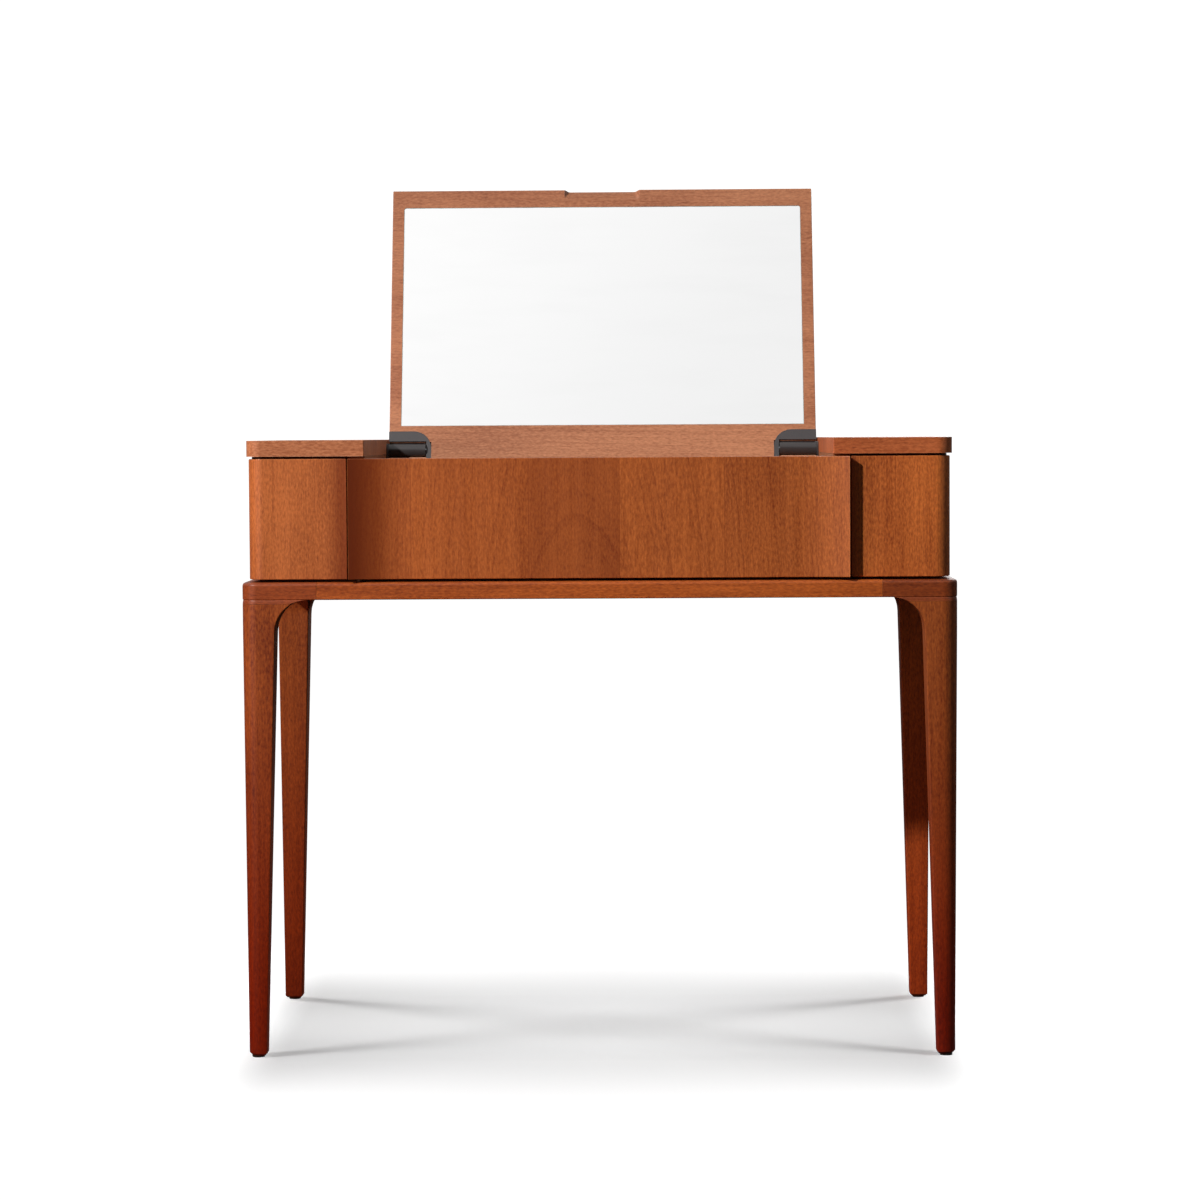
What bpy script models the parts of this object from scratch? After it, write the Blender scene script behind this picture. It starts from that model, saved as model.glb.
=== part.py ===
"""Vanity table whose middle top is a lid with a mirror inside, made as its separate pieces.

Metres, +Z up. The design is laid out with x = 0 in the middle, y = 0 at the front of the
leg frame and z = 0 on the floor. One empty then carries it all, so that the world's origin
is under the middle of the open table. The lid stands open and the drawer is shut.
"""

import math

import bmesh
import bpy
from mathutils import Matrix

# ---------------------------------------------------------------- clearances
TOUCH = 0.0003  # between pieces that are fixed face to face
RUNNING = 0.0010  # between pieces that slide or turn past each other
CUT_PAST = 0.002  # how far a cutter reaches past the face that it opens
SAME = 1e-5  # how near two places count as one

# ---------------------------------------------------------------- overall sizes
TABLE_WIDTH = 0.900
TABLE_DEPTH = 0.450
TABLE_HEIGHT = 0.780
TOP_THICKNESS = 0.020
WING_SHADOW_GAP = 0.003
CASE_HEIGHT = 0.1515
CASE_SHADOW_GAP = 0.0035
CORNER_RADIUS = 0.020
ROUND_STEPS = 7  # facets round a large quarter turn
SMALL_STEPS = 4  # facets round a small quarter turn
EDGE_STEPS = 2  # facets round an eased edge
ROD_STEPS = 28  # facets round a bar

# ---------------------------------------------------------------- leg frame
RAIL_HEIGHT = 0.022
LEG_WIDTH = 0.042
FOOT_WIDTH = 0.024
FOOT_INSET = 0.0025
FOOT_CHAMFER = 0.0025
FILLET_RADIUS = 0.0415
BLOCK_PAST_FILLET = 0.0115
BLOCK_BELOW_RAIL = 0.005
FILLET_STEPS = 6
LEG_EDGE = 0.002
JOINT_EDGE = 0.0003
FRAME_TOP_EASE = 0.0045
FRAME_LOWER_EASE = 0.001
INNER_EASE_SHARE = 0.3
GLIDE_EDGE = 0.0015
GLIDE_HEIGHT = 0.0025

# ---------------------------------------------------------------- case
CASE_SET_IN = 0.0085
SHELL_THICKNESS = 0.018
SHELL_INNER_RADIUS = 0.002
BOTTOM_THICKNESS = 0.012
CASE_EASE = 0.0012
STRIP_SET_IN = 0.022
STRIP_INNER_GAP = 0.002
PARTITION_THICKNESS = 0.022
DRAWER_GAP = 0.0025
CLEAT_WIDTH = 0.016
CLEAT_HEIGHT = 0.028
TOP_SPACER_WIDTH = 0.010
WING_STRIP_SET_IN = 0.004

# ---------------------------------------------------------------- fixed tops
WING_SET_IN = 0.006
WING_TOP_EASE = 0.005
WING_LOWER_EASE = 0.003
INNER_CORNER = 0.0012
REAR_RAIL_WIDTH = 0.0285

# ---------------------------------------------------------------- lid and mirror
LID_SIDE_GAP = 0.002
LID_BEHIND_PIVOT = 0.026
PIVOT_ABOVE_UNDERSIDE = 0.005
LEAN_BACK = 17.5  # degrees past upright when open
LID_EASE = 0.0012
LID_SWING_GAP = 0.0015
STILE_WIDTH = 0.016
LID_FRONT_BORDER = 0.0255
MIRROR_TO_PLATE = 0.0079
MIRROR_THICKNESS = 0.004
MIRROR_SET_IN = 0.0007
MIRROR_CORNER = 0.003
PULL_HALF = 0.0525
PULL_DEPTH = 0.0148
PULL_HEIGHT = 0.0095
PULL_END_SLOPE = 0.006
PULL_CORNER = 0.006
PULL_RIDGE_CORNER = 0.0024

# ---------------------------------------------------------------- lid hinges
PLATE_WIDTH = 0.0575
PLATE_AHEAD = 0.0256
PLATE_BEHIND = 0.0245
PLATE_THICKNESS = 0.003
PLATE_CORNER = 0.024
PLATE_LIP = 0.0065
BARREL_RADIUS = 0.0095
EAR_HALF = 0.008
PIN_RADIUS = 0.003
BRACKET_THICKNESS = 0.0012
BRACKET_AHEAD = 0.030
BRACKET_BEHIND = 0.022
BRACKET_DROP = 0.045
BRACKET_CORNER = 0.008

# ---------------------------------------------------------------- drawer front
FRONT_HALF = 0.314
FRONT_THICKNESS = 0.015
FRONT_PROUD = 0.002
FLARE_LENGTH = 0.067
FLARE_PROUD = 0.0132
FRONT_STEPS = 12

# ---------------------------------------------------------------- tray under the lid
TRAY_THICKNESS = 0.009
TRAY_DEPTH = 0.050
TRAY_RAIL_THICKNESS = 0.018
TRAY_RAIL_DROP = 0.001

# ---------------------------------------------------------------- drawer box and slides
SLIDE_WIDTH = 0.0127
SLIDE_HEIGHT = 0.035
SLIDE_START = 0.006
SLIDE_END_GAP = 0.012
SLIDE_SHEET = 0.0012
DRAWER_SIDE = 0.012
DRAWER_REAR_GAP = 0.0335
DRAWER_FLOOR_GAP = 0.005
DRAWER_HEAD_GAP = 0.010
DRAWER_BASE_RISE = 0.0075
DRAWER_BASE_THICKNESS = 0.005
BOARD_EASE = 0.0008

# ---------------------------------------------------------------- case bolts
BOLT_RADIUS = 0.003
BOLT_HOLE_RADIUS = 0.0033
BOLT_HEAD_RADIUS = 0.006
BOLT_HEAD_HEIGHT = 0.004
BOLT_TIP_COVER = 0.002
BOLT_HEAD_OVERLAP = 0.001
BOLT_SPACING = 0.190

# ---------------------------------------------------------------- heights and lines
HALF_WIDTH = TABLE_WIDTH / 2
TOP_UNDERSIDE = TABLE_HEIGHT - TOP_THICKNESS
CASE_TOP = TOP_UNDERSIDE - WING_SHADOW_GAP
CASE_BOTTOM = CASE_TOP - CASE_HEIGHT
FRAME_TOP = CASE_BOTTOM - CASE_SHADOW_GAP
RAIL_UNDER = FRAME_TOP - RAIL_HEIGHT
LEG_TOP = RAIL_UNDER - BLOCK_BELOW_RAIL
TAPER_TOP = RAIL_UNDER - FILLET_RADIUS
BLOCK_LENGTH = LEG_WIDTH + FILLET_RADIUS + BLOCK_PAST_FILLET
GLIDE_RADIUS = FOOT_WIDTH / 2 - FOOT_CHAMFER - GLIDE_EDGE
FLOOR_TOP = CASE_BOTTOM + BOTTOM_THICKNESS

CASE_HALF = HALF_WIDTH - CASE_SET_IN
CASE_FRONT = CASE_SET_IN
CASE_BACK = TABLE_DEPTH - CASE_SET_IN
SHELL_END = FRONT_HALF + DRAWER_GAP
OPENING_HALF = SHELL_END - TOUCH - PARTITION_THICKNESS
STRIP_WIDTH = LEG_WIDTH - STRIP_SET_IN - STRIP_INNER_GAP
BOLT_TIP = FLOOR_TOP - BOLT_TIP_COVER
WING_HALF = HALF_WIDTH - WING_SET_IN
WING_FRONT = WING_SET_IN
WING_BACK = TABLE_DEPTH - WING_SET_IN
BACK_PANEL_FRONT = CASE_BACK - SHELL_THICKNESS

PIVOT_Z = TOP_UNDERSIDE + PIVOT_ABOVE_UNDERSIDE
LID_ABOVE_PIVOT = TOP_THICKNESS - PIVOT_ABOVE_UNDERSIDE
LID_SWING = math.hypot(LID_BEHIND_PIVOT, LID_ABOVE_PIVOT)
REAR_RAIL_FRONT = WING_BACK - REAR_RAIL_WIDTH
PIVOT_Y = REAR_RAIL_FRONT - LID_SWING - LID_SWING_GAP
LID_HALF = OPENING_HALF - LID_SIDE_GAP
LID_AHEAD = PIVOT_Y - WING_FRONT
MIRROR_LENGTH = LID_AHEAD - LID_FRONT_BORDER - PLATE_AHEAD - MIRROR_TO_PLATE
MIRROR_RECESS = MIRROR_SET_IN + MIRROR_THICKNESS + TOUCH

FRONT_PLANE = CASE_FRONT - FRONT_PROUD
FLARE_START = FRONT_HALF - FLARE_LENGTH
FLARE_RADIUS = (FLARE_LENGTH**2 + FLARE_PROUD**2) / (2 * FLARE_PROUD)
FRONT_BACK = FRONT_PLANE + FRONT_THICKNESS
TRAY_RAIL_FRONT = FRONT_BACK + RUNNING
TRAY_TOP = CASE_TOP - TRAY_DEPTH
TRAY_UNDER = TRAY_TOP - TRAY_THICKNESS

DRAWER_HALF = OPENING_HALF - SLIDE_WIDTH
DRAWER_START = FRONT_BACK + TOUCH
DRAWER_END = BACK_PANEL_FRONT - DRAWER_REAR_GAP
DRAWER_UNDER = FLOOR_TOP + DRAWER_FLOOR_GAP
DRAWER_TOP = TRAY_UNDER - DRAWER_HEAD_GAP
SLIDE_FRONT = DRAWER_START + SLIDE_START
SLIDE_BACK = DRAWER_END - SLIDE_END_GAP
SLIDE_MIDDLE = (DRAWER_UNDER + DRAWER_TOP) / 2

LEAN = math.radians(LEAN_BACK)
LID_REACH_BACK = PIVOT_Y + LID_AHEAD * math.sin(LEAN) + LID_ABOVE_PIVOT * math.cos(LEAN)
ORIGIN_Y = (FRONT_PLANE - FLARE_PROUD + LID_REACH_BACK) / 2

SIDES = {"left": -1, "right": 1}
ENDS = ("front", "rear")


# ---------------------------------------------------------------- outlines
def arc(centre, radius, start, end, steps):
    """Points along an arc, from one angle to another in degrees."""
    angles = [math.radians(start + (end - start) * i / steps) for i in range(steps + 1)]
    return [(centre[0] + radius * math.cos(a), centre[1] + radius * math.sin(a)) for a in angles]


def rectangle(x0, y0, x1, y1):
    return [(x0, y0), (x1, y0), (x1, y1), (x0, y1)]


def rounded_rectangle(x0, y0, x1, y1, radii, steps=ROUND_STEPS):
    """A rectangle with a radius for each corner: front left, front right, back right, back left."""
    corners = [(x0, y0, 1, 1, 180), (x1, y0, -1, 1, 270), (x1, y1, -1, -1, 0), (x0, y1, 1, -1, 90)]
    points = []
    for (x, y, inward_x, inward_y, start), radius in zip(corners, radii):
        if radius == 0:
            points.append((x, y))
            continue
        centre = (x + inward_x * radius, y + inward_y * radius)
        points += arc(centre, radius, start, start + 90, steps)
    return points


def mirrored(outline, side):
    """The outline on the right as it is, or turned over onto the left."""
    return [(side * x, y) for x, y in outline]


# ---------------------------------------------------------------- solids
def prism(outline, bottom, top):
    """An outline in plan, raised from one height to another."""
    bm = bmesh.new()
    face = bm.faces.new([bm.verts.new((x, y, bottom)) for x, y in outline])
    raised = bmesh.ops.extrude_face_region(bm, geom=[face])["geom"]
    verts = [item for item in raised if isinstance(item, bmesh.types.BMVert)]
    bmesh.ops.translate(bm, vec=(0, 0, top - bottom), verts=verts)
    bmesh.ops.recalc_face_normals(bm, faces=bm.faces)
    return bm


def side_prism(outline, start, end):
    """An outline in (y, z), drawn out along x."""
    bm = prism(outline, start, end)
    turn = Matrix(((0, 0, 1), (1, 0, 0), (0, 1, 0)))
    bmesh.ops.transform(bm, matrix=turn.to_4x4(), verts=bm.verts)
    return bm


def front_prism(outline, start, end):
    """An outline in (x, z), drawn out along y."""
    bm = prism(outline, start, end)
    turn = Matrix(((1, 0, 0), (0, 0, 1), (0, 1, 0)))
    bmesh.ops.transform(bm, matrix=turn.to_4x4(), verts=bm.verts)
    return bm


def rod(radius, start, end, steps=ROD_STEPS):
    """A round bar along x through the frame's own zero."""
    return side_prism(arc((0, 0), radius, 0, 360 - 360 / steps, steps - 1), start, end)


def post(radius, x, y, bottom, top, steps=ROD_STEPS):
    """An upright round bar."""
    return prism(arc((x, y), radius, 0, 360 - 360 / steps, steps - 1), bottom, top)


def loft(rings):
    """A closed skin through rings that have the same number of points."""
    bm = bmesh.new()
    loops = [[bm.verts.new(point) for point in ring] for ring in rings]
    for low, high in zip(loops, loops[1:]):
        for i, vert in enumerate(low):
            j = (i + 1) % len(low)
            bm.faces.new((vert, low[j], high[j], high[i]))
    bm.faces.new(loops[0])
    bm.faces.new(loops[-1])
    bmesh.ops.remove_doubles(bm, verts=bm.verts, dist=1e-6)
    return bm


def ease(bm, width, steps, chosen):
    """Rounds over the edges that the test picks by their two ends."""
    edges = [edge for edge in bm.edges if chosen(edge.verts[0].co, edge.verts[1].co)]
    bmesh.ops.bevel(
        bm, geom=edges, offset=width, segments=steps, profile=0.5, affect="EDGES", clamp_overlap=True
    )
    return bm


def level(height):
    """Picks the edges that lie at a height."""
    return lambda a, b: max(abs(a.z - height), abs(b.z - height)) < SAME


def board(x0, x1, y0, y1, z0, z1, width=BOARD_EASE):
    """A plain board with every edge eased."""
    bm = prism(rectangle(x0, y0, x1, y1), z0, z1)
    return ease(bm, width, 1, lambda a, b: True)


# ---------------------------------------------------------------- materials and objects
def finish(name, colour, roughness, metallic=0.0):
    material = bpy.data.materials.new(name)
    material.use_nodes = True
    shader = material.node_tree.nodes["Principled BSDF"]
    shader.inputs["Base Color"].default_value = (*colour, 1.0)
    shader.inputs["Roughness"].default_value = roughness
    shader.inputs["Metallic"].default_value = metallic
    return material


def frame_at(name, location, parent=None):
    empty = bpy.data.objects.new(name, None)
    bpy.context.collection.objects.link(empty)
    empty.parent = parent
    empty.location = location
    return empty


def piece(name, bm, material, parent):
    """Turns a finished bmesh into a named object on its parent's axis."""
    bmesh.ops.recalc_face_normals(bm, faces=bm.faces)
    mesh = bpy.data.meshes.new(name)
    bm.to_mesh(mesh)
    bm.free()
    mesh.materials.append(material)
    mesh.shade_smooth()
    mesh.set_sharp_from_angle(angle=math.radians(30))
    obj = bpy.data.objects.new(name, mesh)
    bpy.context.collection.objects.link(obj)
    obj.parent = parent
    return obj


def combine(target, tool, operation):
    """Cuts a helper out of a piece, or joins it on, and keeps the helper as a guide."""
    modifier = target.modifiers.new(operation.lower(), "BOOLEAN")
    modifier.operation = operation
    modifier.object = tool
    modifier.solver = "EXACT"
    tool.hide_render = True
    tool.display_type = "WIRE"


# ---------------------------------------------------------------- leg frame
def corner_plan(outer, reach, arm, edge):
    """Plan of a leg or corner block, measured in from the frame's outer corner.

    outer is how far its outer faces are eased in, reach is how far it runs along both rails,
    and arm is how thick it is where it runs along them. A plain square has arm equal to reach.
    """
    points = arc((reach - edge, outer + edge), edge, -90, 0, EDGE_STEPS)
    spread = reach - arm
    if spread <= 0:
        hollow_points = 2 * (EDGE_STEPS + 1) + ROUND_STEPS + 1
        points += arc((reach - edge, reach - edge), edge, 0, 90, hollow_points - 1)
    else:
        lip = min(edge, spread / 2)
        hollow = min(spread - lip, FILLET_RADIUS)
        points += arc((reach - lip, arm - lip), lip, 0, 90, EDGE_STEPS)
        points += arc((arm + hollow, arm + hollow), hollow, 270, 180, ROUND_STEPS)
        points += arc((arm - lip, reach - lip), lip, 0, 90, EDGE_STEPS)
    points += arc((outer + edge, reach - edge), edge, 90, 180, EDGE_STEPS)
    radius = min(CORNER_RADIUS, reach - edge) - outer
    points += arc((outer + radius, outer + radius), radius, 180, 270, ROUND_STEPS)
    return points


def at_corner(plan, height, side, end):
    """Puts a corner plan at one of the four corners of the frame."""
    ring = []
    for x, y in plan:
        depth = y if end == "front" else TABLE_DEPTH - y
        ring.append((side * (HALF_WIDTH - x), depth, height))
    return ring


def fillet_reach(height):
    """How far the curve between leg and rail reaches at a height."""
    rise = height - TAPER_TOP
    return LEG_WIDTH + FILLET_RADIUS - math.sqrt(max(FILLET_RADIUS**2 - rise**2, 0.0))


def band_eases():
    """(height, ease) up the outside of the frame's band of rails and corner blocks."""
    levels = [(RAIL_UNDER, FRAME_LOWER_EASE), (RAIL_UNDER + FRAME_LOWER_EASE, 0.0)]
    centre = (FRAME_TOP_EASE, FRAME_TOP - FRAME_TOP_EASE)
    levels += [(z, inset) for inset, z in arc(centre, FRAME_TOP_EASE, 180, 90, SMALL_STEPS)]
    return levels


def leg(side, end):
    foot = GLIDE_HEIGHT + TOUCH
    foot_reach = FOOT_INSET + FOOT_WIDTH
    levels = [
        (foot, FOOT_INSET + FOOT_CHAMFER, foot_reach - FOOT_CHAMFER),
        (foot + FOOT_CHAMFER, FOOT_INSET, foot_reach),
        (TAPER_TOP, 0.0, LEG_WIDTH),
    ]
    rings = [at_corner(corner_plan(o, r, r, LEG_EDGE), z, side, end) for z, o, r in levels]
    head = LEG_TOP - TOUCH
    top_angle = math.asin((head - TAPER_TOP) / FILLET_RADIUS)
    for step in range(1, FILLET_STEPS + 1):
        height = TAPER_TOP + FILLET_RADIUS * math.sin(top_angle * step / FILLET_STEPS)
        plan = corner_plan(0.0, fillet_reach(height), LEG_WIDTH, LEG_EDGE)
        rings.append(at_corner(plan, height, side, end))
    return loft(rings)


def corner_block(side, end):
    rings = []
    start = math.asin((LEG_TOP - TAPER_TOP) / FILLET_RADIUS)
    for step in range(FILLET_STEPS):
        share = step / (FILLET_STEPS - 1)
        height = TAPER_TOP + FILLET_RADIUS * math.sin(start + (math.pi / 2 - start) * share)
        edge = LEG_EDGE + (JOINT_EDGE - LEG_EDGE) * share
        plan = corner_plan(FRAME_LOWER_EASE * share, fillet_reach(height), LEG_WIDTH, edge)
        rings.append(at_corner(plan, height, side, end))
    for height, inset in band_eases():
        arm = LEG_WIDTH - INNER_EASE_SHARE * inset
        plan = corner_plan(inset, BLOCK_LENGTH, arm, JOINT_EDGE)
        rings.append(at_corner(plan, height, side, end))
    return loft(rings)


def frame_rail(place):
    """The rail on one side of the frame, between two corner blocks."""
    outer = [(inset, z) for z, inset in band_eases()]
    inner = [(LEG_WIDTH - INNER_EASE_SHARE * inset, z) for inset, z in reversed(outer)]
    length = TABLE_WIDTH if place in ENDS else TABLE_DEPTH
    start, end = BLOCK_LENGTH + TOUCH, length - BLOCK_LENGTH - TOUCH
    rings = []
    for run in (start, end):
        ring = []
        for inset, z in outer + inner:
            if place in ENDS:
                depth = inset if place == "front" else TABLE_DEPTH - inset
                ring.append((run - HALF_WIDTH, depth, z))
            else:
                ring.append((SIDES[place] * (HALF_WIDTH - inset), run, z))
        rings.append(ring)
    return loft(rings)


def add_leg_frame(parent, wood, band_wood, plastic):
    for end in ENDS:
        for name, side in SIDES.items():
            piece(f"{end}_{name}_leg", leg(side, end), wood, parent)
            piece(f"{end}_{name}_corner_block", corner_block(side, end), band_wood, parent)
            centre = FOOT_INSET + FOOT_WIDTH / 2
            depth = centre if end == "front" else TABLE_DEPTH - centre
            glide = post(GLIDE_RADIUS, side * (HALF_WIDTH - centre), depth, 0.0, GLIDE_HEIGHT)
            piece(f"{end}_{name}_foot_glide", glide, plastic, parent)
    for place in (*ENDS, *SIDES):
        rail = piece(f"{place}_rail", frame_rail(place), wood, parent)
        if place in SIDES:
            drill_for_bolts(rail, parent, wood, place)


# ---------------------------------------------------------------- case bolts
def bolt_places(place):
    """Centres of the two case bolts that come up through a side rail."""
    x = SIDES[place] * (HALF_WIDTH - STRIP_SET_IN - STRIP_WIDTH / 2)
    return [(x, TABLE_DEPTH / 2 + along * BOLT_SPACING / 2) for along in (-1, 1)]


def drill_for_bolts(target, parent, material, place):
    for number, (x, y) in enumerate(bolt_places(place)):
        drill = post(BOLT_HOLE_RADIUS, x, y, RAIL_UNDER - CUT_PAST, BOLT_TIP + RUNNING)
        tool = piece(f"drill_{target.name}_{place}_{number}", drill, material, parent)
        combine(target, tool, "DIFFERENCE")


def add_case_bolts(parent, steel):
    for place in SIDES:
        for end, (x, y) in zip(ENDS, bolt_places(place)):
            head_top = RAIL_UNDER - TOUCH
            bolt = post(BOLT_RADIUS, x, y, head_top - BOLT_HEAD_OVERLAP, BOLT_TIP)
            shank = piece(f"{end}_{place}_case_bolt", bolt, steel, parent)
            head = post(BOLT_HEAD_RADIUS, x, y, head_top - BOLT_HEAD_HEIGHT, head_top)
            tool = piece(f"head_of_{shank.name}", head, steel, parent)
            combine(shank, tool, "UNION")


# ---------------------------------------------------------------- case
def strip_outline(place):
    """Plan of one spacer strip between the frame and the case."""
    near, far = STRIP_SET_IN, STRIP_SET_IN + STRIP_WIDTH
    if place in SIDES:
        outline = rectangle(HALF_WIDTH - far, far + TOUCH, HALF_WIDTH - near, TABLE_DEPTH - far - TOUCH)
        return mirrored(outline, SIDES[place])
    y0, y1 = (near, far) if place == "front" else (TABLE_DEPTH - far, TABLE_DEPTH - near)
    return rectangle(near - HALF_WIDTH, y0, HALF_WIDTH - near, y1)


def shell_outline():
    """Plan of the right side shell: front face, rounded corner, side, rounded corner, rear face."""
    outer, inner = CORNER_RADIUS, SHELL_INNER_RADIUS
    x = CASE_HALF - CORNER_RADIUS
    y0, y1 = CASE_FRONT + CORNER_RADIUS, CASE_BACK - CORNER_RADIUS
    ix = CASE_HALF - SHELL_THICKNESS - inner
    iy0, iy1 = CASE_FRONT + SHELL_THICKNESS + inner, CASE_BACK - SHELL_THICKNESS - inner
    points = arc((SHELL_END + CASE_EASE, CASE_FRONT + CASE_EASE), CASE_EASE, 180, 270, EDGE_STEPS)
    points += arc((x, y0), outer, 270, 360, ROUND_STEPS)
    points += arc((x, y1), outer, 0, 90, ROUND_STEPS)
    points += [(SHELL_END, CASE_BACK), (SHELL_END, CASE_BACK - SHELL_THICKNESS)]
    points += arc((ix, iy1), inner, 90, 0, EDGE_STEPS)
    points += arc((ix, iy0), inner, 0, -90, EDGE_STEPS)
    points += [(SHELL_END, CASE_FRONT + SHELL_THICKNESS)]
    return points


def cleat_outline():
    """Plan of the right wing cleat: a U that lines the shell's inside and holds the wing off it."""
    radius = SHELL_INNER_RADIUS - TOUCH
    near, out = SHELL_END, CASE_HALF - SHELL_THICKNESS - TOUCH
    y0, y1 = CASE_FRONT + SHELL_THICKNESS + TOUCH, BACK_PANEL_FRONT - TOUCH
    points = [(near, y0)]
    points += arc((out - radius, y0 + radius), radius, 270, 360, EDGE_STEPS)
    points += arc((out - radius, y1 - radius), radius, 0, 90, EDGE_STEPS)
    points += [(near, y1), (near, y1 - CLEAT_WIDTH), (out - CLEAT_WIDTH, y1 - CLEAT_WIDTH)]
    points += [(out - CLEAT_WIDTH, y0 + CLEAT_WIDTH), (near, y0 + CLEAT_WIDTH)]
    return points


def wing_strip_outline():
    """Plan of the right wing strip: it lies on the shell's top edge, set in from the outside."""
    radius = CORNER_RADIUS - WING_STRIP_SET_IN
    x = CASE_HALF - CORNER_RADIUS
    y0, y1 = CASE_FRONT + CORNER_RADIUS, CASE_BACK - CORNER_RADIUS
    inside = CASE_HALF - SHELL_THICKNESS
    points = [(SHELL_END, CASE_FRONT + WING_STRIP_SET_IN)]
    points += arc((x, y0), radius, 270, 360, ROUND_STEPS)
    points += arc((x, y1), radius, 0, 90, ROUND_STEPS)
    points += [(SHELL_END, CASE_BACK - WING_STRIP_SET_IN), (SHELL_END, BACK_PANEL_FRONT)]
    points += [(inside, BACK_PANEL_FRONT), (inside, CASE_FRONT + SHELL_THICKNESS)]
    points += [(SHELL_END, CASE_FRONT + SHELL_THICKNESS)]
    return points


def front_back_face(x):
    """Where the back of the drawer front lies at a distance from the middle."""
    beyond = max(x - FLARE_START, 0.0)
    centre = FRONT_PLANE - FLARE_RADIUS
    return centre + math.sqrt((FLARE_RADIUS + FRONT_THICKNESS) ** 2 - beyond**2)


def add_case(parent, veneer, inside_wood, strip_wood):
    for place in (*ENDS, *SIDES):
        bm = prism(strip_outline(place), FRAME_TOP + TOUCH, CASE_BOTTOM - TOUCH)
        strip = piece(f"{place}_spacer_strip", bm, strip_wood, parent)
        if place in SIDES:
            drill_for_bolts(strip, parent, strip_wood, place)
    edge = SHELL_THICKNESS + TOUCH
    radii = [SHELL_INNER_RADIUS] * 4
    plan = rounded_rectangle(
        edge - CASE_HALF, CASE_FRONT + edge, CASE_HALF - edge, CASE_BACK - edge, radii, EDGE_STEPS
    )
    bottom = piece("bottom_panel", prism(plan, CASE_BOTTOM, FLOOR_TOP), inside_wood, parent)
    for name, side in SIDES.items():
        drill_for_bolts(bottom, parent, inside_wood, name)
        bm = prism(mirrored(shell_outline(), side), CASE_BOTTOM, CASE_TOP)
        ease(bm, CASE_EASE, EDGE_STEPS, level(CASE_TOP))
        ease(bm, CASE_EASE, EDGE_STEPS, level(CASE_BOTTOM))
        piece(f"{name}_side_shell", bm, veneer, parent)
        stop_line = front_back_face(OPENING_HALF) + RUNNING
        plan = mirrored(
            rectangle(OPENING_HALF, stop_line, SHELL_END - TOUCH, BACK_PANEL_FRONT - TOUCH), side
        )
        bm = prism(plan, FLOOR_TOP + TOUCH, TOP_UNDERSIDE - TOUCH)
        piece(f"{name}_partition", bm, inside_wood, parent)
        top = TOP_UNDERSIDE - TOUCH
        cleat = prism(mirrored(cleat_outline(), side), top - CLEAT_HEIGHT, top)
        piece(f"{name}_wing_cleat", cleat, strip_wood, parent)
        strip = prism(mirrored(wing_strip_outline(), side), CASE_TOP + TOUCH, TOP_UNDERSIDE - TOUCH)
        piece(f"{name}_wing_strip", strip, strip_wood, parent)
    reach = SHELL_END - TOUCH
    plan = rectangle(-reach, BACK_PANEL_FRONT, reach, CASE_BACK)
    bm = ease(prism(plan, CASE_BOTTOM, CASE_TOP), CASE_EASE, EDGE_STEPS, level(CASE_TOP))
    piece("back_panel", bm, veneer, parent)
    reach = OPENING_HALF - TOUCH
    middle = BACK_PANEL_FRONT + SHELL_THICKNESS / 2
    plan = rectangle(-reach, middle - TOP_SPACER_WIDTH / 2, reach, middle + TOP_SPACER_WIDTH / 2)
    spacer = prism(plan, CASE_TOP + TOUCH, TOP_UNDERSIDE - TOUCH)
    piece("rear_top_spacer", spacer, strip_wood, parent)


def add_tray(parent, inside_wood):
    reach = OPENING_HALF - TOUCH
    rail_back = TRAY_RAIL_FRONT + TRAY_RAIL_THICKNESS
    rail = board(-reach, reach, TRAY_RAIL_FRONT, rail_back, TRAY_UNDER, CASE_TOP - TRAY_RAIL_DROP)
    piece("tray_front_rail", rail, inside_wood, parent)
    plan = rectangle(-reach, rail_back + TOUCH, reach, BACK_PANEL_FRONT - TOUCH)
    piece("tray_floor", prism(plan, TRAY_UNDER, TRAY_TOP), inside_wood, parent)


def outer_edge(height):
    """Picks a fixed top's edges at a height, apart from the one along the lid."""
    at_level = level(height)
    past = OPENING_HALF + 2 * INNER_CORNER
    return lambda a, b: at_level(a, b) and max(abs(a.x), abs(b.x)) > past


def rear_edge(height):
    """Picks the edge at a height along the back of the tops."""
    at_level = level(height)
    return lambda a, b: at_level(a, b) and min(a.y, b.y) > WING_BACK - SAME


def add_fixed_tops(parent, top_wood):
    for name, side in SIDES.items():
        radii = (INNER_CORNER, CORNER_RADIUS, CORNER_RADIUS, INNER_CORNER)
        plan = rounded_rectangle(OPENING_HALF, WING_FRONT, WING_HALF, WING_BACK, radii)
        bm = prism(mirrored(plan, side), TOP_UNDERSIDE, TABLE_HEIGHT)
        ease(bm, WING_TOP_EASE, SMALL_STEPS, outer_edge(TABLE_HEIGHT))
        ease(bm, WING_LOWER_EASE, SMALL_STEPS, outer_edge(TOP_UNDERSIDE))
        piece(f"{name}_wing_top", bm, top_wood, parent)
    reach = OPENING_HALF - TOUCH
    plan = rectangle(-reach, REAR_RAIL_FRONT, reach, WING_BACK)
    bm = prism(plan, TOP_UNDERSIDE, TABLE_HEIGHT)
    ease(bm, WING_TOP_EASE, SMALL_STEPS, rear_edge(TABLE_HEIGHT))
    ease(bm, WING_LOWER_EASE, SMALL_STEPS, rear_edge(TOP_UNDERSIDE))
    piece("rear_top_rail", bm, top_wood, parent)


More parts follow.
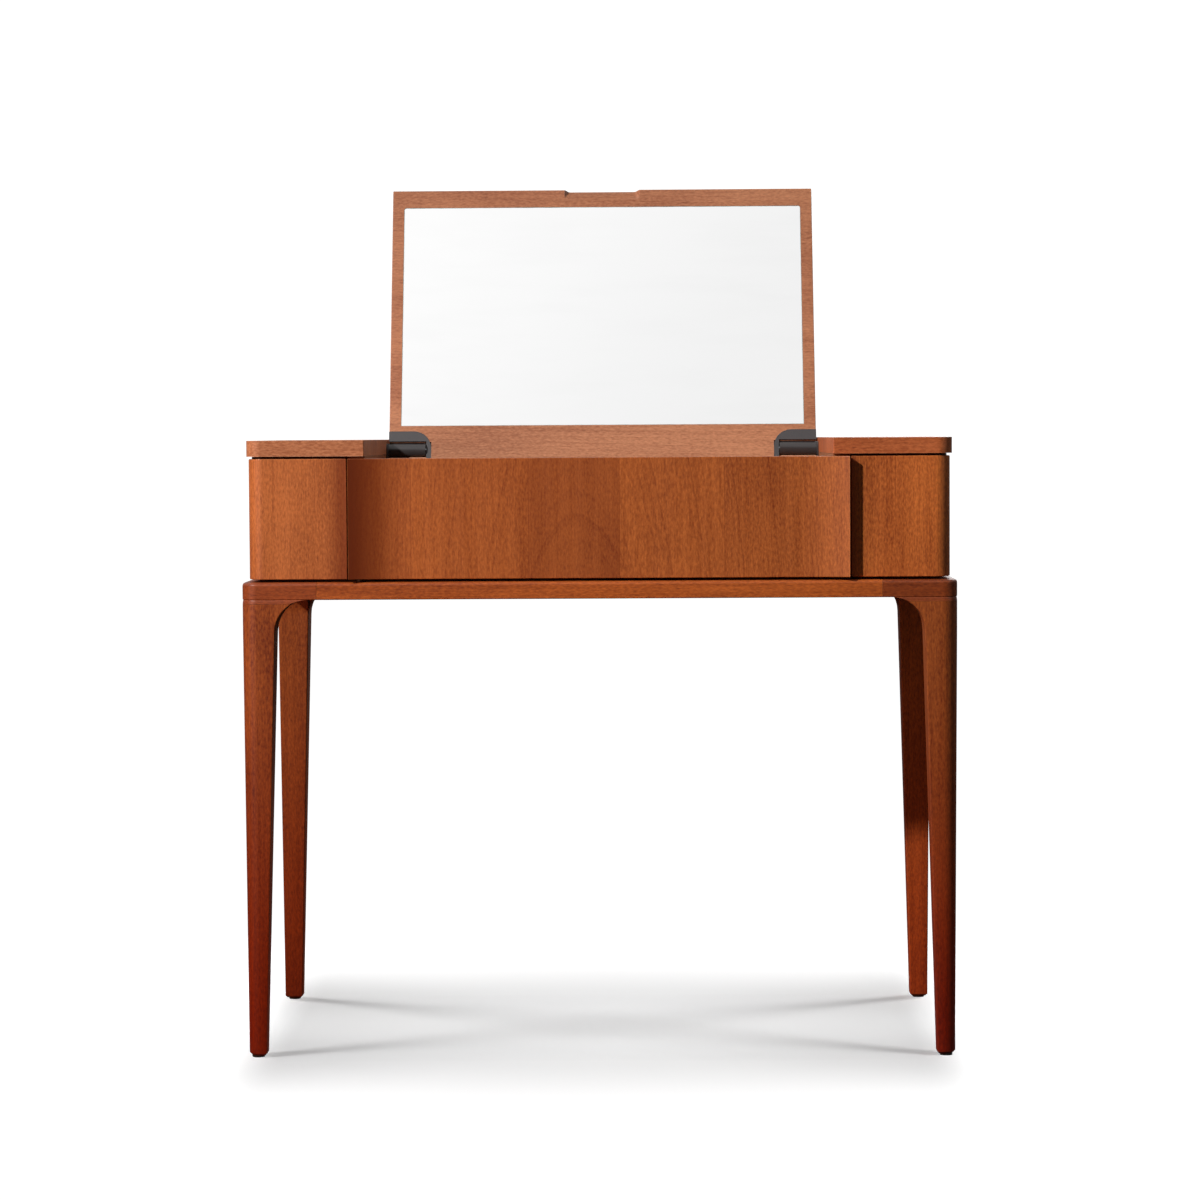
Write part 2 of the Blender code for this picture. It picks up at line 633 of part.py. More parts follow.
# ---------------------------------------------------------------- lid, on its hinge axis
def pull_cutter():
    """The bevelled finger pull under the lid's front edge."""
    rings = []
    for height in (-CUT_PAST, PULL_HEIGHT + CUT_PAST / 2):
        share = height / PULL_HEIGHT
        half = PULL_HALF - PULL_END_SLOPE * share
        back = PULL_DEPTH * (1 - share) - LID_AHEAD
        corner = PULL_CORNER + (PULL_RIDGE_CORNER - PULL_CORNER) * share
        ahead = -LID_AHEAD - PULL_DEPTH
        plan = rounded_rectangle(-half, ahead, half, back, (0, 0, corner, corner), SMALL_STEPS)
        rings.append([(x, y, height - PIVOT_ABOVE_UNDERSIDE) for x, y in plan])
    return loft(rings)


def plate_outline():
    """Plan of the right hinge plate, seen from above: a band ahead of the barrel and an inner lip."""
    outboard, inboard = LID_HALF + TOUCH, LID_HALF - PLATE_WIDTH
    window = BARREL_RADIUS + 2 * RUNNING
    points = [(outboard, -PLATE_AHEAD), (outboard, -window)]
    points += [(inboard + PLATE_LIP, -window), (inboard + PLATE_LIP, PLATE_BEHIND)]
    points += [(inboard, PLATE_BEHIND)]
    centre = (inboard + PLATE_CORNER, PLATE_CORNER - PLATE_AHEAD)
    points += arc(centre, PLATE_CORNER, 180, 270, ROUND_STEPS)
    return points


def grown_plate_outline():
    """The bed for the plate in the lid: the whole plate with its window filled, and room round it."""
    outboard, inboard = LID_HALF + CUT_PAST, LID_HALF - PLATE_WIDTH - TOUCH
    corner = PLATE_CORNER + TOUCH
    points = [(outboard, -PLATE_AHEAD - TOUCH), (outboard, LID_BEHIND_PIVOT + RUNNING)]
    points += [(inboard, LID_BEHIND_PIVOT + RUNNING)]
    points += arc((inboard + corner, corner - PLATE_AHEAD - TOUCH), corner, 180, 270, ROUND_STEPS)
    return points


def add_lid(axis, top_wood, glass):
    underside, top = -PIVOT_ABOVE_UNDERSIDE, LID_ABOVE_PIVOT
    plan = rectangle(-LID_HALF, -LID_AHEAD, LID_HALF, LID_BEHIND_PIVOT)
    bm = ease(prism(plan, underside, top), LID_EASE, EDGE_STEPS, lambda a, b: True)
    lid = piece("lid_panel", bm, top_wood, axis)
    half = LID_HALF - STILE_WIDTH
    front = LID_FRONT_BORDER - LID_AHEAD
    radii = (MIRROR_CORNER, MIRROR_CORNER, 0, 0)
    plan = rounded_rectangle(-half, front, half, front + MIRROR_LENGTH, radii, SMALL_STEPS)
    recess = prism(plan, underside - CUT_PAST, underside + MIRROR_RECESS)
    combine(lid, piece("mirror_recess", recess, top_wood, axis), "DIFFERENCE")
    combine(lid, piece("finger_pull", pull_cutter(), top_wood, axis), "DIFFERENCE")
    for name, side in SIDES.items():
        bed = prism(mirrored(grown_plate_outline(), side), underside - CUT_PAST, underside + PLATE_THICKNESS)
        combine(lid, piece(f"{name}_plate_bed", bed, top_wood, axis), "DIFFERENCE")
        reach = BARREL_RADIUS + RUNNING
        inner = LID_HALF - PLATE_WIDTH - TOUCH
        plan = mirrored(rectangle(inner, -reach, LID_HALF + CUT_PAST, reach), side)
        pocket = prism(plan, underside - CUT_PAST, reach)
        combine(lid, piece(f"{name}_barrel_pocket", pocket, top_wood, axis), "DIFFERENCE")
    half -= TOUCH
    radii = (MIRROR_CORNER - TOUCH, MIRROR_CORNER - TOUCH, 0, 0)
    back = front + MIRROR_LENGTH - TOUCH
    plan = rounded_rectangle(-half, front + TOUCH, half, back, radii, SMALL_STEPS)
    deepest = underside + MIRROR_RECESS - TOUCH
    piece("mirror_glass", prism(plan, deepest - MIRROR_THICKNESS, deepest), glass, axis)


def add_hinges(case_axis, lid_axis, iron, steel):
    """Each hinge: a bracket with a barrel on the partition, a pin, and a plate in the lid."""
    plate_low = -PIVOT_ABOVE_UNDERSIDE
    inboard = LID_HALF - PLATE_WIDTH
    barrel_end = inboard + PLATE_LIP + RUNNING
    bracket_out = OPENING_HALF - TOUCH
    for name, side in SIDES.items():
        bm = prism(mirrored(plate_outline(), side), plate_low, plate_low + PLATE_THICKNESS - TOUCH)
        plate = piece(f"{name}_hinge_plate", bm, iron, lid_axis)
        plan = mirrored(
            rectangle(inboard + TOUCH, -EAR_HALF, inboard + PLATE_LIP - TOUCH, EAR_HALF), side
        )
        ear = prism(plan, plate_low + TOUCH, EAR_HALF)
        combine(plate, piece(f"{name}_plate_ear", ear, iron, lid_axis), "UNION")
        bore = rod(PIN_RADIUS + TOUCH, side * (inboard - CUT_PAST), side * (barrel_end + CUT_PAST))
        combine(plate, piece(f"{name}_ear_bore", bore, iron, lid_axis), "DIFFERENCE")

        radii = [BRACKET_CORNER] * 4
        outline = rounded_rectangle(
            -BRACKET_AHEAD, -BRACKET_DROP, BRACKET_BEHIND, BARREL_RADIUS, radii, SMALL_STEPS
        )
        bm = side_prism(outline, side * (bracket_out - BRACKET_THICKNESS), side * bracket_out)
        bracket = piece(f"{name}_hinge_bracket", bm, iron, case_axis)
        barrel = rod(BARREL_RADIUS, side * barrel_end, side * (bracket_out - BRACKET_THICKNESS / 2))
        combine(bracket, piece(f"{name}_hinge_barrel", barrel, iron, case_axis), "UNION")
        bore = rod(PIN_RADIUS + TOUCH, side * (barrel_end - CUT_PAST), side * (bracket_out + CUT_PAST))
        combine(bracket, piece(f"{name}_barrel_bore", bore, iron, case_axis), "DIFFERENCE")

        pin = rod(PIN_RADIUS, side * (inboard + TOUCH), side * (bracket_out - TOUCH))
        piece(f"{name}_hinge_pin", pin, steel, case_axis)


# ---------------------------------------------------------------- drawer
def drawer_front_outline():
    """Plan of the drawer front: flat in the middle, swept forward at both ends."""
    sweep = math.degrees(math.asin(FLARE_LENGTH / FLARE_RADIUS))
    centre = (FLARE_START, FRONT_PLANE - FLARE_RADIUS)
    front = arc(centre, FLARE_RADIUS, 90, 90 - sweep, FRONT_STEPS)
    outer = FLARE_RADIUS + FRONT_THICKNESS
    back_sweep = math.degrees(math.asin(FLARE_LENGTH / outer))
    back = arc(centre, outer, 90 - back_sweep, 90, FRONT_STEPS)
    right = front + back
    left = [(-x, y) for x, y in reversed(right)]
    return right + left


def channel(outboard, inboard, half, sheet, opens_inboard):
    """Outline in (x, z) of a slide's channel, with its web on one side."""
    web, mouth = (outboard, inboard) if opens_inboard else (inboard, outboard)
    step = sheet if web < mouth else -sheet
    return [
        (web, SLIDE_MIDDLE - half),
        (mouth, SLIDE_MIDDLE - half),
        (mouth, SLIDE_MIDDLE - half + sheet),
        (web + step, SLIDE_MIDDLE - half + sheet),
        (web + step, SLIDE_MIDDLE + half - sheet),
        (mouth, SLIDE_MIDDLE + half - sheet),
        (mouth, SLIDE_MIDDLE + half),
        (web, SLIDE_MIDDLE + half),
    ]


def add_slides(case_axis, middle_axis, drawer_axis, steel):
    """Each slide: a case channel, a middle channel inside it and a drawer channel inside that."""
    half = SLIDE_HEIGHT / 2
    step = SLIDE_SHEET + RUNNING
    outer, inner = OPENING_HALF - TOUCH, DRAWER_HALF + TOUCH
    members = {
        "case": (case_axis, channel(outer, inner + 4 * RUNNING, half, SLIDE_SHEET, True)),
        "middle": (
            middle_axis,
            channel(outer - step, inner + 2 * RUNNING, half - step, SLIDE_SHEET, True),
        ),
        "drawer": (
            drawer_axis,
            channel(outer - 2 * step, inner, half - 2 * step, SLIDE_SHEET, False),
        ),
    }
    for name, side in SIDES.items():
        for member, (axis, outline) in members.items():
            bm = front_prism(mirrored(outline, side), SLIDE_FRONT, SLIDE_BACK)
            piece(f"{name}_slide_{member}_channel", bm, steel, axis)


def add_drawer(axis, veneer, box_wood):
    bm = prism(drawer_front_outline(), CASE_BOTTOM, CASE_TOP)
    ease(bm, CASE_EASE, EDGE_STEPS, level(CASE_TOP))
    ease(bm, CASE_EASE, EDGE_STEPS, level(CASE_BOTTOM))
    piece("drawer_front", bm, veneer, axis)
    inner = DRAWER_HALF - DRAWER_SIDE
    for name, side in SIDES.items():
        low, high = sorted((side * inner, side * DRAWER_HALF))
        bm = board(low, high, DRAWER_START, DRAWER_END, DRAWER_UNDER, DRAWER_TOP)
        piece(f"drawer_{name}_side", bm, box_wood, axis)
    reach = inner - TOUCH
    bm = board(-reach, reach, DRAWER_END - DRAWER_SIDE, DRAWER_END, DRAWER_UNDER, DRAWER_TOP)
    piece("drawer_back", bm, box_wood, axis)
    base = DRAWER_UNDER + DRAWER_BASE_RISE
    plan = rectangle(-reach, DRAWER_START, reach, DRAWER_END - DRAWER_SIDE - TOUCH)
    piece("drawer_base", prism(plan, base, base + DRAWER_BASE_THICKNESS), box_wood, axis)


# ---------------------------------------------------------------- the whole table
def main():
    for obj in list(bpy.data.objects):
        bpy.data.objects.remove(obj)

    leg_wood = finish("leg_wood", (0.185, 0.052, 0.016), 0.42)
    band_wood = finish("band_wood", (0.235, 0.060, 0.018), 0.40)
    veneer = finish("case_veneer", (0.305, 0.090, 0.026), 0.42)
    top_wood = finish("top_wood", (0.430, 0.155, 0.058), 0.40)
    inside_wood = finish("inside_wood", (0.300, 0.110, 0.045), 0.55)
    strip_wood = finish("strip_wood", (0.060, 0.024, 0.012), 0.70)
    box_wood = finish("drawer_box_wood", (0.560, 0.390, 0.230), 0.55)
    glass = finish("mirror_silver", (0.930, 0.940, 0.940), 0.02, 1.0)
    iron = finish("hinge_iron", (0.070, 0.070, 0.075), 0.45, 0.7)
    steel = finish("bright_steel", (0.520, 0.530, 0.540), 0.35, 1.0)
    plastic = finish("glide_plastic", (0.045, 0.040, 0.038), 0.60)

    table = frame_at("table_origin", (0.0, -ORIGIN_Y, 0.0))
    drawer_axis = frame_at("drawer_travel", (0.0, 0.0, 0.0), table)
    middle_axis = frame_at("slide_middle_travel", (0.0, 0.0, 0.0), table)
    hinge_axis = frame_at("hinge_axis", (0.0, PIVOT_Y, PIVOT_Z), table)
    lid_axis = frame_at("lid_axis", (0.0, PIVOT_Y, PIVOT_Z), table)
    lid_axis.rotation_euler.x = -(math.pi / 2 + LEAN)

    add_leg_frame(table, leg_wood, band_wood, plastic)
    add_case(table, veneer, inside_wood, strip_wood)
    add_case_bolts(table, steel)
    add_tray(table, inside_wood)
    add_fixed_tops(table, top_wood)
    add_lid(lid_axis, top_wood, glass)
    add_hinges(hinge_axis, lid_axis, iron, steel)
    add_drawer(drawer_axis, veneer, box_wood)
    add_slides(table, middle_axis, drawer_axis, steel)


main()
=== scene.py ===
# %% [markdown]
# # A vanity table with a flip-up mirror
#
# The table comes in as a imported model whose pieces already have their right shapes and sizes. What
# is left is everything that the eye reads as wood, glass and iron: grain, stain, gloss, worn edges
# with a painted highlight, and the light of a studio. Each finish is built out of nodes, with no
# picture files.

# %% Load the table
import math

import bpy
from mathutils import Euler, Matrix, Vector


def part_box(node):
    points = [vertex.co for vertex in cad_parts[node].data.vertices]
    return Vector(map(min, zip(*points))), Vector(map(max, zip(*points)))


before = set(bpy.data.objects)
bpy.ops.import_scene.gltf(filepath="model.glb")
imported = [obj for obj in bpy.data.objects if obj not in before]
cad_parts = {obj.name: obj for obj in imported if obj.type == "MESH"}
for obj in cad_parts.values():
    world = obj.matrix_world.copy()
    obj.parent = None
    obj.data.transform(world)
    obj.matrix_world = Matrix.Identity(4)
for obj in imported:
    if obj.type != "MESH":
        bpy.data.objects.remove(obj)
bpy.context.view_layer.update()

# %% [markdown]
# ## Landmarks
#
# Later steps need to know where the table is: the middle, the height of the top and the front of
# the drawer. They are read from the pieces themselves, so a change of size in the model carries
# through to the stains, the floor and the lamps. The camera's place is given.

# %% Landmarks of the table
drawer_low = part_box("drawer_front")[0]
TOP_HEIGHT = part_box("left_wing_top")[1].z
LEG_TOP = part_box("front_left_leg")[1].z
FRONT = drawer_low.y
MIDDLE = Vector((0.0, (drawer_low.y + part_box("back_panel")[1].y) / 2, 0.0))
print("top at", round(TOP_HEIGHT, 3), "drawer front at", round(FRONT, 3))

# %% [markdown]
# ## Camera
#
# A long lens from four metres away keeps the legs nearly upright, as a catalogue does. The lens
# stands just above the top, so that the top shows as a thin bright line, and it looks very
# slightly down, to the left and out of level.

# %% Camera
LENS = 96.5
CAMERA_PLACE = (0.0615, -4.278, 0.7865)
LOOK_DOWN, LOOK_LEFT, LEAN_RIGHT = 2.96, 0.859, 0.333  # degrees

camera = bpy.data.objects.new("camera", bpy.data.cameras.new("camera"))
bpy.context.collection.objects.link(camera)
camera.location = CAMERA_PLACE
camera.rotation_euler = Euler((math.radians(90 - LOOK_DOWN), 0.0, math.radians(LOOK_LEFT)))
camera.rotation_euler.rotate_axis("Z", math.radians(-LEAN_RIGHT))
camera.data.lens = LENS
bpy.context.scene.camera = camera
print("lens", camera.data.lens, "mm at", CAMERA_PLACE)

# %% [markdown]
# ## Soft shading over eased edges
#
# Every board has small rounded edges made of a few narrow facets. Their shading should run
# smoothly into the flat faces, or each facet would show as a stripe. Modifiers do it, so the CAD
# meshes stay as they are. A small Geometry Nodes group joins the triangles, which come in cut
# loose, and shades them smooth except over creases. Weighted Normal then lets large faces count
# for more, which keeps the flats flat.

# %% Shading modifiers
CREASE = math.radians(35)
SAME_POINT = 1e-5  # metres


def soft_shading_group():
    """Joins coincident points and shades smooth over every edge flatter than a crease."""
    tree = bpy.data.node_groups.new("Soft Shading", "GeometryNodeTree")
    for way in ("INPUT", "OUTPUT"):
        tree.interface.new_socket("Mesh", in_out=way, socket_type="NodeSocketGeometry")
    start = tree.nodes.new("NodeGroupInput")
    joined = tree.nodes.new("GeometryNodeMergeByDistance")
    joined.inputs["Distance"].default_value = SAME_POINT
    faces = tree.nodes.new("GeometryNodeSetShadeSmooth")
    faces.domain = "FACE"
    edges = tree.nodes.new("GeometryNodeSetShadeSmooth")
    edges.domain = "EDGE"
    angle = tree.nodes.new("GeometryNodeInputMeshEdgeAngle")
    flatter = tree.nodes.new("ShaderNodeMath")
    flatter.operation = "LESS_THAN"
    flatter.inputs[1].default_value = CREASE
    end = tree.nodes.new("NodeGroupOutput")
    tree.links.new(start.outputs[0], joined.inputs["Geometry"])
    tree.links.new(joined.outputs[0], faces.inputs["Geometry"])
    tree.links.new(faces.outputs[0], edges.inputs["Geometry"])
    tree.links.new(angle.outputs["Unsigned Angle"], flatter.inputs[0])
    tree.links.new(flatter.outputs[0], edges.inputs["Shade Smooth"])
    tree.links.new(edges.outputs[0], end.inputs[0])
    return tree


SOFT_SHADING = soft_shading_group()
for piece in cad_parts.values():
    piece.modifiers.new("Soft Shading", "NODES").node_group = SOFT_SHADING
    weighted = piece.modifiers.new("Weighted Normal", "WEIGHTED_NORMAL")
    weighted.keep_sharp = True
print("soft shading on", len(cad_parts), "pieces")

# %% [markdown]
# ## Helpers for node trees
#
# Short helpers keep the node code readable. They turn a painter's colour into a shader's, add a
# node and fill its sockets with values or links, do arithmetic, ease one range into another, mix
# colours, and start and finish a group with named sockets.

# %% Node helpers
def colour(red, green, blue):
    """A colour given as a painter would, from 0 to 255, as the linear values that shaders use."""
    shares = [value / 255 for value in (red, green, blue)]
    linear = [s / 12.92 if s <= 0.04045 else ((s + 0.055) / 1.055) ** 2.4 for s in shares]
    return (*linear, 1.0)


def node(tree, kind, inputs=None, **settings):
    """Adds a node, sets its properties, and fills its sockets with values or links."""
    made = tree.nodes.new("ShaderNode" + kind)
    for name, value in settings.items():
        setattr(made, name, value)
    for name, value in (inputs or {}).items():
        if isinstance(value, bpy.types.NodeSocket):
            tree.links.new(value, made.inputs[name])
        else:
            made.inputs[name].default_value = value
    return made


def calc(tree, operation, *values, clamp=False):
    """One Math node on values or sockets."""
    made = node(tree, "Math", dict(enumerate(values)), operation=operation, use_clamp=clamp)
    return made.outputs["Value"]


def ramp(tree, value, low, high, to_low=0.0, to_high=1.0):
    """Turns a range into another with soft ends."""
    inputs = {"Value": value, "From Min": low, "From Max": high, "To Min": to_low, "To Max": to_high}
    return node(tree, "MapRange", inputs, interpolation_type="SMOOTHSTEP").outputs["Result"]


def mix(tree, share, first, second, blend="MIX"):
    """Mixes two colours."""
    made = node(tree, "Mix", {0: share, 6: first, 7: second}, data_type="RGBA", blend_type=blend)
    return made.outputs[2]


def start_group(name, inputs, outputs):
    """An empty shader group with named sockets. Inputs are (name, kind, value)."""
    tree = bpy.data.node_groups.new(name, "ShaderNodeTree")
    for label, kind, value in inputs:
        socket = tree.interface.new_socket(label, in_out="INPUT", socket_type="NodeSocket" + kind)
        if value is not None:
            socket.default_value = value
    for label, kind in outputs:
        tree.interface.new_socket(label, in_out="OUTPUT", socket_type="NodeSocket" + kind)
    return tree, tree.nodes.new("NodeGroupInput").outputs, tree.nodes.new("NodeGroupOutput").inputs


def finish_group(tree, sockets, results):
    for name, socket in results.items():
        tree.links.new(socket, sockets[name])
    print("group", tree.name, "with", len(tree.nodes), "nodes")
    return tree


# %% [markdown]
# ## Timber
#
# A board is a slice through a log, so its figure is worked out as the log grew. The rings are
# shells round the pith: the distance from the pith, divided by the width of a year, gives the
# ring that a point lies in. A log that leans through the board makes the rings meet the face in
# long arches, which is the cathedral figure of flat-sawn wood. Noise that is stretched along the
# grain bends the rings, draws the fibres, and scatters short dark pores. Flecks are the fine stipple
# that a stain leaves as it soaks into some cells and not others.
#
# The group takes a position whose grain runs along Z, and puts out a colour, a roughness and a
# height. A wave texture would be quicker to set up, but its lines repeat and never arch.

# %% The timber group
def timber_group():
    tree, given, wanted = start_group(
        "Stained Timber",
        [
            ("Vector", "Vector", None),
            ("Seed", "Float", 0.0),
            ("Ring Width", "Float", 0.005),
            ("Lean", "Float", 0.0),
            ("Wobble", "Float", 0.006),
            ("Ring Strength", "Float", 0.22),
            ("Fibre Strength", "Float", 0.5),
            ("Fleck Strength", "Float", 1.25),
            ("Cloud Strength", "Float", 1.1),
            ("Pore Strength", "Float", 0.35),
            ("Light Stain", "Color", colour(186, 119, 86)),
            ("Dark Stain", "Color", colour(120, 55, 25)),
            ("Roughness", "Float", 0.48),
        ],
        [("Colour", "Color"), ("Roughness", "Float"), ("Height", "Float")],
    )
    shift = node(tree, "CombineXYZ", {axis: given["Seed"] for axis in "XYZ"}).outputs[0]
    spread = node(tree, "VectorMath", {0: shift, 1: (3.7, 5.3, 9.1)}, operation="MULTIPLY").outputs[0]

    def along_grain(share, scale, detail):
        """Noise whose features are drawn out along the grain."""
        squeezed = node(tree, "VectorMath", {0: given["Vector"], 1: (1, 1, share)}, operation="MULTIPLY")
        moved = node(tree, "VectorMath", {0: squeezed.outputs[0], 1: spread}, operation="ADD")
        return node(tree, "TexNoise", {"Vector": moved.outputs[0], "Scale": scale, "Detail": detail})

    bend = along_grain(0.16, 11.0, 3.0).outputs["Color"]
    centred = node(tree, "VectorMath", {0: bend, 1: (0.5, 0.5, 0.5)}, operation="SUBTRACT").outputs[0]
    bent = node(tree, "VectorMath", {0: centred, "Scale": given["Wobble"]}, operation="SCALE").outputs[0]
    place = node(tree, "VectorMath", {0: given["Vector"], 1: bent}, operation="ADD").outputs[0]
    parts = node(tree, "SeparateXYZ", {0: place}).outputs
    depth = calc(tree, "MULTIPLY_ADD", parts["Z"], given["Lean"], parts["Y"])
    from_pith = node(tree, "CombineXYZ", {"X": parts["X"], "Y": depth}).outputs[0]
    reach = node(tree, "VectorMath", {0: from_pith}, operation="LENGTH").outputs["Value"]
    year = calc(tree, "DIVIDE", reach, given["Ring Width"])
    late = calc(tree, "POWER", calc(tree, "FRACT", year), 2.5)
    fade = ramp(tree, calc(tree, "FRACT", year), 0.86, 1.0, 1.0, 0.0)
    weather = node(tree, "TexWhiteNoise", {"W": calc(tree, "FLOOR", year)}, noise_dimensions="1D")
    rings = calc(tree, "MULTIPLY", calc(tree, "MULTIPLY", late, fade), weather.outputs["Value"])

    fibres = along_grain(0.02, 520.0, 2.0).outputs["Fac"]
    streaks = along_grain(0.03, 95.0, 3.0).outputs["Fac"]
    clouds = along_grain(0.22, 13.0, 2.0).outputs["Fac"]
    flecks = along_grain(0.40, 480.0, 3.0).outputs["Fac"]
    pores = ramp(tree, along_grain(0.07, 1100.0, 1.0).outputs["Fac"], 0.63, 0.72)

    tone = calc(tree, "MULTIPLY_ADD", calc(tree, "SUBTRACT", clouds, 0.5), given["Cloud Strength"], 0.62)
    tone = calc(tree, "MULTIPLY_ADD", calc(tree, "SUBTRACT", fibres, 0.5), given["Fibre Strength"], tone)
    tone = calc(tree, "MULTIPLY_ADD", calc(tree, "SUBTRACT", streaks, 0.5), given["Fibre Strength"], tone)
    tone = calc(tree, "MULTIPLY_ADD", calc(tree, "SUBTRACT", flecks, 0.5), given["Fleck Strength"], tone)
    lost = calc(tree, "MULTIPLY", rings, given["Ring Strength"])
    tone = calc(tree, "SUBTRACT", tone, lost, clamp=True)
    stained = mix(tree, tone, given["Dark Stain"], given["Light Stain"])
    filled = calc(tree, "MULTIPLY", pores, given["Pore Strength"])
    pored = mix(tree, filled, stained, given["Dark Stain"], "MULTIPLY")

    duller = calc(tree, "MULTIPLY_ADD", filled, 0.25, given["Roughness"])
    uneven = calc(tree, "MULTIPLY_ADD", calc(tree, "SUBTRACT", streaks, 0.5), 0.18, duller)
    raised = calc(tree, "MULTIPLY_ADD", fibres, 0.35, 0.5)
    height = calc(tree, "SUBTRACT", raised, calc(tree, "MULTIPLY", filled, 0.9))
    return finish_group(tree, wanted, {"Colour": pored, "Roughness": uneven, "Height": height})


TIMBER = timber_group()

# %% [markdown]
# ## Veneer
#
# The case is faced with leaves of veneer laid side by side, so that the tone steps at each joint.
# The group counts the joints that lie to the left of a point, which tells it the leaf. It moves the
# position by a random amount for each leaf, so that every leaf has a figure of its own, and puts
# out a tone for the leaf and a mask for the hairline of the joint. A veneered face is a different
# group for each set of joints, since the joints are where the maker cut them.

# %% The veneer groups
def veneer_group(name, first_tone, joints):
    """Joints are (place across, tone of the leaf to the right of it)."""
    tree, given, wanted = start_group(
        name,
        [("Vector", "Vector", None), ("Seed", "Float", 0.0), ("Shift", "Float", 0.1)],
        [("Vector", "Vector"), ("Tone", "Float"), ("Joint", "Float")],
    )
    across = node(tree, "SeparateXYZ", {0: given["Vector"]}).outputs["X"]
    leaf, tone, hairline, last = given["Seed"], first_tone, 0.0, first_tone
    for place, next_tone in joints:
        past = calc(tree, "GREATER_THAN", across, place)
        leaf = calc(tree, "ADD", leaf, past)
        tone = calc(tree, "MULTIPLY_ADD", past, next_tone - last, tone)
        away = calc(tree, "ABSOLUTE", calc(tree, "SUBTRACT", across, place))
        hairline = calc(tree, "MAXIMUM", hairline, ramp(tree, away, 0.0002, 0.0007, 1.0, 0.0))
        last = next_tone
    drawn = node(tree, "TexWhiteNoise", {"W": leaf}, noise_dimensions="1D").outputs["Color"]
    centred = node(tree, "VectorMath", {0: drawn, 1: (0.5, 0.5, 0.5)}, operation="SUBTRACT").outputs[0]
    moved = node(tree, "VectorMath", {0: centred, "Scale": given["Shift"]}, operation="SCALE").outputs[0]
    own = node(tree, "VectorMath", {0: given["Vector"], 1: moved}, operation="ADD").outputs[0]
    return finish_group(tree, wanted, {"Vector": own, "Tone": tone, "Joint": hairline})


DRAWER_VENEER = veneer_group(
    "Drawer Leaves", 0.45, ((-0.236, 0.42), (-0.088, 0.68), (0.026, 0.24), (0.158, 0.12))
)
BACK_VENEER = veneer_group("Back Leaves", 0.4, ((-0.158, 0.25), (0.0, 0.5), (0.158, 0.3)))

# %% [markdown]
# ## Pale edges: rubbed stain and a painted highlight
#
# Stain is wiped off a sharp edge sooner than off a face, so the eased edges of stained furniture
# are a little paler. The wood's edges are made paler still, as a painted highlight where they catch
# the light. Blender's Bevel node gives the normal that a rounded edge would have. Where it parts
# from the true normal, there is an edge nearby. Cavity maps would need a dense mesh, and these
# boards have only a few large faces.

# %% The edge mask group
def edge_mask_group():
    tree, given, wanted = start_group(
        "Edge Mask",
        [("Radius", "Float", 0.0016), ("Strength", "Float", 0.5)],
        [("Edge Share", "Float")],
    )
    rounded = node(tree, "Bevel", {"Radius": given["Radius"]}, samples=6).outputs[0]
    true_normal = node(tree, "NewGeometry").outputs["True Normal"]
    agree = node(tree, "VectorMath", {0: rounded, 1: true_normal}, operation="DOT_PRODUCT")
    edge = ramp(tree, agree.outputs["Value"], 0.80, 0.995, 1.0, 0.0)
    places = node(tree, "TexCoord").outputs["Object"]
    patch = node(tree, "TexNoise", {"Vector": places, "Scale": 70.0, "Detail": 3.0}).outputs["Fac"]
    uneven = ramp(tree, patch, 0.35, 0.62, 0.35, 1.0)
    edge_share = calc(tree, "MULTIPLY", calc(tree, "MULTIPLY", edge, uneven), given["Strength"])
    return finish_group(tree, wanted, {"Edge Share": edge_share})


EDGE_MASK = edge_mask_group()

# %% [markdown]
# ## A wooden material
#
# All the wood shares one recipe: the position is turned so that the grain runs the right way,
# veneered boards are split into leaves, and the timber group gives the colour, roughness and
# height. Some pieces get painted shade, darker towards the floor or in a band where shade falls.
# Every edge is paler, partly rubbed stain and partly a painted highlight. The clear satin lacquer
# on top is the Principled shader's coat. Its weight and roughness are the same everywhere, so they
# are plain values on the shader.

# %% The recipe for wood
GRAIN_TURN = {
    "up": (0.0, 0.0, 0.0),
    "across": (0.0, -math.pi / 2, 0.0),
    "back": (math.pi / 2, 0.0, 0.0),
}


def use_group(tree, group, inputs):
    made = node(tree, "Group", node_tree=group)
    for name, value in inputs.items():
        if isinstance(value, bpy.types.NodeSocket):
            tree.links.new(value, made.inputs[name])
        else:
            made.inputs[name].default_value = value
    return made.outputs


def new_material(name):
    material = bpy.data.materials.new(name)
    material.use_nodes = True
    tree = material.node_tree
    return material, tree, tree.nodes["Principled BSDF"]


LEAF_SPREAD = 0.6
JOINT_DARKNESS = 0.4
# Gain on the light stain for paler edges: rubbed stain and a painted highlight.
RUBBED_AND_HIGHLIT_GAIN = (1.25, 1.55, 2.1)
GRAIN_RELIEF = 0.00025  # metres
GRAIN_RELIEF_STRENGTH = 0.35
WOOD_SPECULAR = 0.3
LACQUER_ROUGHNESS = 0.25


